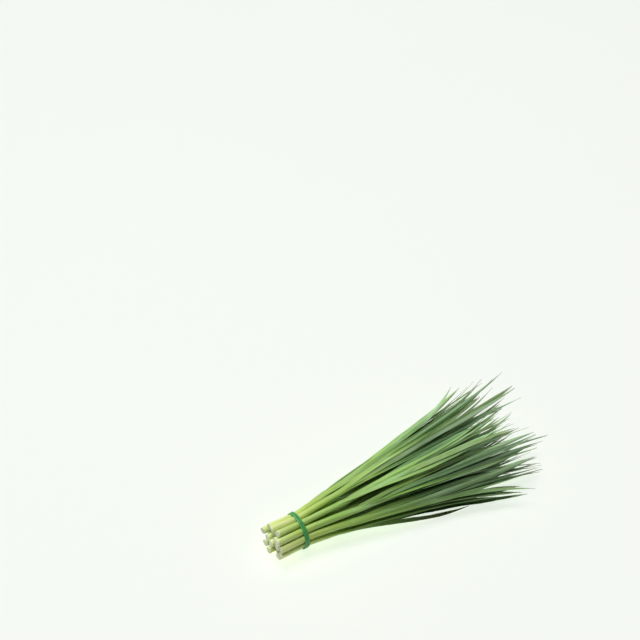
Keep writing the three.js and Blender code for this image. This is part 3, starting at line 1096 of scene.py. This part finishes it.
def open_fan(upper_blades):
    """Half the width of the fan, and a function that gives the height of its top over points."""
    ridges = [blade.ridge for blade in upper_blades]

    def top(points):
        heights = []
        for ridge in ridges:
            y, z = (np.interp(points[:, 0], ridge[:, 0], ridge[:, i]) for i in (1, 2))
            heights.append(z - (points[:, 1] - y) ** 2 / (2 * FAN_ROUNDING))
        return np.max(heights, axis=0)

    half = max(np.abs(ridge[:, 1]).max() for ridge in ridges)
    return SimpleNamespace(half=half, top=top)


def leave_shank(shank, line, share, x):
    """A line along the bunch, led out of the middle of a shank from where its share starts."""
    start_x = x[share <= 0].max()
    centre = follow(shank.middle, shank.middle, np.minimum(x, start_x))
    start = centre[-1]
    slope = (start - centre[0]) / (start_x - x[0])
    far = share > FREE
    return np.where(x[:, None] <= start_x, centre,
                    led_out(start, slope, (1, 2, 3), x[far], line[far], x))


def young_shape(share, widest, settings, rng):
    """The section of a young leaf along its length: curled at its mouth, then open and flat."""
    taper = 1 - np.clip((share - 0.62) / 0.38, 0, 1) ** 1.9
    half_length = np.maximum(widest * lerp(1.25, 1, ease(share, 0, 0.4)) * taper, TIP_HALF)
    half_angle = lerp(1.1, rng.uniform(0.2, 0.5), ease(share, 0, 0.14))
    arc = half_length / half_angle
    return SimpleNamespace(
        steps=YOUNG_ACROSS,
        half_angle=half_angle,
        half_length=half_length,
        wide=arc,
        deep=arc,
        thickness=settings.thickness * lerp(1, 0.5, share),
        fold=settings.fold * ease(share, 0.05, 0.3) * (1 - ease(share, 0.6, 1)),
        rib=YOUNG_RIB * (1 - ease(share, 0.5, 1)),
        pleat=YOUNG_PLEAT * (1 - share),
        wave=YOUNG_WAVE * ease(share, 0.1, 0.5) * np.minimum(1, half_length / (2 * MM)),
        twist=YOUNG_TWIST * rng.normal() * ease(share, 0.1, 1.0),
    )


def young_leaf(name, shank, blades, fan, place, side, settings, number, rng):
    """A young leaf, which rises between the two outer ones. Its place, from -1 to 1, is where
    it comes to lie between the leaves of the leeks beside it."""
    furthest = max(blade.ridge[-1, 0] for blade in blades)
    tip = lerp(shank.top, furthest, rng.uniform(*YOUNG_REACH))
    start = shank.top - settings.early * abs(place)
    x = np.linspace(start - LEAD_IN, tip, settings.stations)
    share = np.clip((x - start) / (tip - start), 0, 1)
    across = unit(follow(blades[0].ridge, blades[0].across, x))
    line, room = young_line(shank, blades, fan, place, side, settings, x, share, across, rng)

    widest = rng.uniform(settings.narrowest, settings.widest)
    if rng.uniform() < SLIM_SHARE:
        widest *= SLIM
    shape = young_shape(share, widest, settings, rng)
    look = leaf_look(x, shank, tip, shape.half_angle, number, rng)
    # Painted shade: the more room over a young leaf, the deeper it lies under the top of the fan
    # and the darker it is painted.
    look.pale = look.pale * (1 - 0.85 * ease(room, 4 * MM, 15 * MM))
    return leaf_body(name, line, across * side, shape, look, rng)


def young_line(shank, blades, fan, place, side, settings, x, share, across, rng):
    """The line of a young leaf, and the room between it and the top of the fan."""
    lines = [follow(blade.ridge, blade.ridge, x) for blade in blades]
    line = (lines[0] + lines[1]) / 2
    _, sideways, upwards = frame_along(line, across)
    halfway = len(line) // 2
    edge = np.clip(line[halfway, 1] / fan.half * 1.5, -1, 1)
    place = (place + rng.uniform(-0.15, 0.15)) * (1 - 0.35 * abs(edge)) - 0.4 * edge
    spread = settings.spread * share * (1.35 - 0.35 * share) + settings.near * ease(share, 0, 0.15)
    line = line + sideways * (spread * place)[:, None]
    room = np.maximum(0, simple_curve(x, fan.top(line) - line[:, 2], x))
    lift = settings.lift * (1 - ease(room[halfway], *TALL_ROOM)) * (1 - 0.9 * edge ** 2)
    raised = settings.rise * rng.uniform(-1, 1)
    aside = stray(share, *YOUNG_ASIDE, rng)
    up = (stray(share, *YOUNG_UP, rng) + raised * share
          + lift * room * ease(share, 0, 0.2) * lerp(1, 0.4, ease(share, 0.2, 0.6))
          + side * 0.5 * MM * (1 - share))
    line = line + sideways * aside[:, None] + upwards * up[:, None]
    return arched(leave_shank(shank, line, share, x), share), room


def dry_leaf(name, shank, blade, settings, number, rng):
    """The thin old leaf that has dried: it sinks to the table and bows out from under the
    leaf beside it, then turns back."""
    top = shank.top
    tip = lerp(top, blade.ridge[-1, 0], settings.reach)
    x = np.linspace(top - LEAD_IN, tip, settings.stations)
    line = follow(blade.ridge, blade.ridge, x)
    share = np.clip((x - top) / (tip - top), 0, 1)
    line[:, 1] += settings.turn_back * share - settings.bow * np.sin(math.pi * share ** 2)
    line[:, 2] = lerp(line[:, 2], settings.height, ease(share, 0.05, 0.8))
    line = leave_shank(shank, line, share, x)
    across = unit(follow(blade.ridge, blade.across, x))
    shape = young_shape(share, settings.half_width, settings, rng)
    look = leaf_look(x, shank, tip, shape.half_angle, number, rng)
    look.dry = lerp(0.15, 0.9, ease(share, 0.2, 0.75))
    look.pale = np.ones_like(share)
    return leaf_body(name, line, across, shape, look, rng)


# ---------------------------------------------------------------------------------------
# Rubber band

BAND_SIDES = 20  # faces round the strand
SQUARENESS = 0.55  # 1 gives the strand a round section, and less a squarer one
FINE_STEPS = 2880  # directions in which the loop round the shanks is felt out
BAND_GAP = 0.05 * MM  # how far the band stays off the CAD stems
TURN_GAP = 0.02 * MM  # the gap between its two turns where they cross
CROSSING = math.radians(-32)  # the direction, from the bunch, in which they cross
CROSSING_HALF = 0.095  # half the share of a turn that they take to cross
BAND_LEAN = math.radians(7)  # how far the strand leans over on its way
BAND_PATTERN = 1.1 * MM  # the radius with which the patterns go round the strand
BAND_OFFSET = 3.0  # the part of the patterns that the band has for itself


def stretched_loop(circles, gap, count):
    """Evenly spaced points of a loop stretched round circles, directions out, and its length."""
    angle = np.linspace(0, math.tau, FINE_STEPS, endpoint=False)
    out = np.stack([np.cos(angle), np.sin(angle)], axis=-1)
    centres, radii = circles[:, :2], circles[:, 2] + gap
    touched = np.argmax(out @ centres.T + radii, axis=1)
    line = centres[touched] + radii[touched, None] * out
    line = np.vstack([line, line[:1]])
    length = np.append(0, np.cumsum(np.linalg.norm(np.diff(line, axis=0), axis=1)))
    even = np.linspace(0, length[-1], count, endpoint=False)
    points = np.stack([np.interp(even, length, line[:, i]) for i in (0, 1)], axis=-1)
    ahead = np.roll(points, -1, 0) - np.roll(points, 1, 0)
    return points, unit(np.stack([ahead[:, 1], -ahead[:, 0]], axis=-1)), length[-1]


def strand_line(points, out, turn, settings, band_x):
    """The middle of the strand on its two turns, and its directions outwards and sideways."""
    nearest = np.floor(turn + 0.5)
    swing = math.pi * (nearest + ease(turn - nearest, -CROSSING_HALF, CROSSING_HALF))
    hop = (settings.thickness + TURN_GAP) * np.maximum(0, np.sin(swing))
    lean = BAND_LEAN * np.sin(math.tau * turn * 1.5 + 1.0)
    middle = np.column_stack([
        band_x + settings.pitch / 2 * np.cos(swing), points + out * hop[:, None]])
    middle[:, 2] = np.maximum(middle[:, 2], settings.thickness / 2)
    outwards = np.column_stack([np.zeros(len(out)), out])
    sideways = np.broadcast_to([1.0, 0, 0], outwards.shape)
    ahead = np.cross(outwards, sideways)
    return middle, turned(outwards, ahead, lean), turned(sideways, ahead, lean)


def band_body(name, shanks, settings, band_x, rng):
    """The band: two turns side by side, which cross once low on the far side."""
    each, half = settings.stations, settings.thickness / 2
    circles = np.array([stem_at(shank, band_x) for shank in shanks])
    points, out, length = stretched_loop(circles, half + BAND_GAP, each)
    start = np.argmin(np.abs(np.arctan2(out[:, 1], out[:, 0]) - CROSSING))
    order = (start + np.arange(2 * each)) % each
    turn = np.arange(2 * each) / each
    middle, outwards, sideways = strand_line(points[order], out[order], turn, settings, band_x)

    angle = np.arange(BAND_SIDES) * math.tau / BAND_SIDES
    circle = np.stack([np.cos(angle), np.sin(angle)], axis=-1)
    section = np.sign(circle) * np.abs(circle) ** SQUARENESS
    uneven = (1 + 0.035 * np.sin(math.tau * (turn * 3 + rng.uniform()))
              + 0.02 * np.sin(math.tau * (turn * 11 + rng.uniform())))
    wide = settings.width / 2 * uneven
    rings = (middle[:, None] + moved(outwards, half * section[None, :, 0])
             - moved(sideways, wide[:, None] * section[:, 1]))
    rings[..., 2] = np.maximum(rings[..., 2], 0)
    grain = np.stack(np.broadcast_arrays(
        angle * BAND_PATTERN, (turn * length)[:, None], BAND_OFFSET), axis=-1)
    return loft(name, rings, {"grain": grain}, closed=True)


# ---------------------------------------------------------------------------------------
# Operators

# Where the seeds of each kind of piece start. No two pieces share one.
BAND_SEED, SHANK_SEED, OUTER_SEED, YOUNG_SEED, DRY_SEED = 7, 100, 200, 400, 600


def leeks():
    """Each leek's CAD stem name, its shank and its two outer leaves, as the frame holds them."""
    for node in STEM_NODES:
        blades = {way: read_blade(f"{node}_{way}_leaf", side)
                  for way, side in BLADE_SIDES.items()}
        yield node, read_shank(node), blades


def band_place():
    low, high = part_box("rubber_band")
    return (low + high) / 2


class LEEKS_OT_shanks(bpy.types.Operator):
    """Makes the round shanks with their cut ends"""

    bl_idname = "leeks.shanks"
    bl_label = "Shanks"
    bl_options = {"REGISTER", "UNDO"}

    def execute(self, context):
        scene = context.scene
        material = shank_material(scene.leek_shanks, scene.leek_greens)
        for node, shank, _ in leeks():
            name = node.replace("stem", "shank")
            rng = np.random.default_rng(SHANK_SEED + shank.number)
            mesh = shank_body(name, shank, scene.leek_shanks, band_place().x, rng)
            add_piece(name, mesh, material, node)
        return {"FINISHED"}


class LEEKS_OT_outer_leaves(bpy.types.Operator):
    """Makes the two outer leaves of each leek"""

    bl_idname = "leeks.outer_leaves"
    bl_label = "Outer leaves"
    bl_options = {"REGISTER", "UNDO"}

    def execute(self, context):
        scene = context.scene
        material = leaf_material("leek_leaf", scene.leek_greens, 0.5)
        for node, shank, blades in leeks():
            for way, side in BLADE_SIDES.items():
                name = node.replace("stem", "leaf") + "_" + way
                seed = OUTER_SEED + 2 * shank.number + (side > 0)
                rng = np.random.default_rng(seed)
                mesh = outer_leaf(name, shank, blades[way], side, scene.leek_blades, seed, rng)
                add_piece(name, mesh, material, f"{node}_{way}_leaf")
        return {"FINISHED"}


class LEEKS_OT_young_leaves(bpy.types.Operator):
    """Makes the narrow young leaves inside each leek"""

    bl_idname = "leeks.young_leaves"
    bl_label = "Young leaves"
    bl_options = {"REGISTER", "UNDO"}

    def execute(self, context):
        scene = context.scene
        material = leaf_material("young_leek_leaf", scene.leek_greens, 0.36)
        each = scene.leek_young.each
        fan = open_fan([blades["upper"] for _, _, blades in leeks()])
        for node, shank, blades in leeks():
            pair = [blades["lower"], blades["upper"]]
            for i in range(each):
                name = node.replace("stem", "young_leaf") + "_" + YOUNG_LETTERS[i]
                seed = YOUNG_SEED + each * shank.number + i
                rng = np.random.default_rng(seed)
                place = 2 * (i + 0.5) / each - 1
                side = 1 if i % 2 else -1
                mesh = young_leaf(name, shank, pair, fan, place, side, scene.leek_young, seed,
                                  rng)
                add_piece(name, mesh, material)
        return {"FINISHED"}


class LEEKS_OT_dry_leaf(bpy.types.Operator):
    """Makes the thin dry leaf at the near side of the bunch"""

    bl_idname = "leeks.dry_leaf"
    bl_label = "Dry leaf"
    bl_options = {"REGISTER", "UNDO"}

    def execute(self, context):
        scene = context.scene
        def lowest_and_nearest(leek):
            return leek[2]["lower"].ridge[:, 1:].mean(axis=0).sum()

        _, shank, blades = min(leeks(), key=lowest_and_nearest)
        material = leaf_material("dry_leek_leaf", scene.leek_greens, 0.6)
        rng = np.random.default_rng(DRY_SEED)
        mesh = dry_leaf("dry_leaf", shank, blades["lower"], scene.leek_dry, DRY_SEED, rng)
        add_piece("dry_leaf", mesh, material)
        return {"FINISHED"}


class LEEKS_OT_rubber_band(bpy.types.Operator):
    """Ties the bunch with the rubber band"""

    bl_idname = "leeks.rubber_band"
    bl_label = "Rubber band"
    bl_options = {"REGISTER", "UNDO"}

    def execute(self, context):
        scene = context.scene
        settings = scene.leek_band
        shanks = [shank for _, shank, _ in leeks()]
        rng = np.random.default_rng(BAND_SEED)
        mesh = band_body("band", shanks, settings, band_place().x, rng)
        add_piece("band", mesh, rubber_material(settings), "rubber_band")
        return {"FINISHED"}


class LEEKS_OT_stage(bpy.types.Operator):
    """Sets up the table, the lights and the camera"""

    bl_idname = "leeks.stage"
    bl_label = "Stage"
    bl_options = {"REGISTER", "UNDO"}

    def execute(self, context):
        scene = context.scene
        settings = scene.leek_stage
        self.add_table(settings)
        self.add_daylight(scene, settings)
        self.add_lights(scene, settings)
        self.add_camera(scene, settings)
        scene.view_settings.view_transform = "Standard"
        return {"FINISHED"}

    def add_table(self, settings):
        shape = bmesh.new()
        bmesh.ops.create_grid(shape, x_segments=8, y_segments=8, size=settings.table_size / 2)
        mesh = bpy.data.meshes.new("table")
        shape.to_mesh(mesh)
        shape.free()
        mesh.materials.append(table_material(settings))
        add_object("table", mesh)

    def add_daylight(self, scene, settings):
        """Fills the view with the table's colour, of which only a little lights the scene."""
        world = bpy.data.worlds.new("daylight")
        world.use_nodes = True
        nodes, links = world.node_tree.nodes, world.node_tree.links
        background = nodes["Background"]
        background.inputs["Color"].default_value = (*settings.table_colour, 1)
        seen = nodes.new("ShaderNodeLightPath").outputs["Is Camera Ray"]
        strength = nodes.new("ShaderNodeMapRange")
        strength.inputs["To Min"].default_value = settings.daylight
        links.new(seen, strength.inputs["Value"])
        links.new(strength.outputs[0], background.inputs["Strength"])
        scene.world = world

    def add_lights(self, scene, settings):
        """Lamps that light the bunch alone, and lamps that light the table alone."""
        bunch, table = (bpy.data.collections.new(name) for name in ("bunch", "table"))
        for piece in scene.objects:
            if piece.type == "MESH":
                (table if piece.name == "table" else bunch).objects.link(piece)
        self.add_lamp("key", settings.key_power, 1.2, (-0.7, 0.15, 2.9), bunch)
        self.add_lamp("side", settings.side_power, 1.2, (-0.4, 2.0, 2.0), bunch)
        self.add_lamp("shade", settings.shade_power, 1.5, (-0.2, 0.6, 3), table)
        sun = bpy.data.lights.new("wash", "SUN")
        sun.energy = settings.wash_strength
        wash = add_object("wash", sun)
        wash.light_linking.receiver_collection = table
        wash.light_linking.blocker_collection = table

    def add_lamp(self, name, power, size, place, lit):
        """A square lamp that faces the middle of the frame and lights one collection."""
        data = bpy.data.lights.new(name, "AREA")
        data.energy = power
        data.size = size
        lamp = add_object(name, data)
        lamp.location = place
        lamp.rotation_euler = (-Vector(place)).to_track_quat("-Z", "Y").to_euler()
        lamp.light_linking.receiver_collection = lit

    def add_camera(self, scene, settings):
        azimuth, elevation = settings.azimuth, settings.elevation
        forward = Vector((-math.sin(azimuth) * math.cos(elevation),
                          math.cos(azimuth) * math.cos(elevation), -math.sin(elevation)))
        right = Vector((math.cos(azimuth), math.sin(azimuth), 0))
        up = right.cross(forward)
        aim = band_place() + right * settings.aim_right + up * settings.aim_up
        data = bpy.data.cameras.new("camera")
        data.lens = settings.lens
        data.clip_start = 0.05
        camera = add_object("camera", data)
        camera.location = band_place() - forward * settings.distance
        look = aim - camera.location
        camera.rotation_euler = look.to_track_quat("-Z", "Y").to_euler()
        scene.camera = camera


class LEEKS_PT_build(bpy.types.Panel):
    """Lists the steps that build the bunch"""

    bl_idname = "LEEKS_PT_build"
    bl_label = "Bunch of leeks"
    bl_space_type = "VIEW_3D"
    bl_region_type = "UI"
    bl_category = "Leeks"

    def draw(self, context):
        for operator in OPERATORS:
            self.layout.operator(operator.bl_idname)


SETTINGS = {
    "leek_greens": GreenSettings,
    "leek_shanks": ShankSettings,
    "leek_blades": BladeSettings,
    "leek_young": YoungLeafSettings,
    "leek_dry": DryLeafSettings,
    "leek_band": BandSettings,
    "leek_stage": StageSettings,
}
OPERATORS = (
    LEEKS_OT_shanks,
    LEEKS_OT_outer_leaves,
    LEEKS_OT_young_leaves,
    LEEKS_OT_dry_leaf,
    LEEKS_OT_rubber_band,
    LEEKS_OT_stage,
)
CLASSES = (*SETTINGS.values(), *OPERATORS, LEEKS_PT_build)


def register():
    for item in CLASSES:
        bpy.utils.register_class(item)
    for name, kind in SETTINGS.items():
        setattr(bpy.types.Scene, name, PointerProperty(type=kind))


def unregister():
    for name in SETTINGS:
        delattr(bpy.types.Scene, name)
    for item in reversed(CLASSES):
        bpy.utils.unregister_class(item)


def main():
    register()
    bpy.ops.leeks.shanks()
    bpy.ops.leeks.outer_leaves()
    bpy.ops.leeks.young_leaves()
    bpy.ops.leeks.dry_leaf()
    bpy.ops.leeks.rubber_band()
    bpy.ops.leeks.stage()


if __name__ == "__main__":
    main()
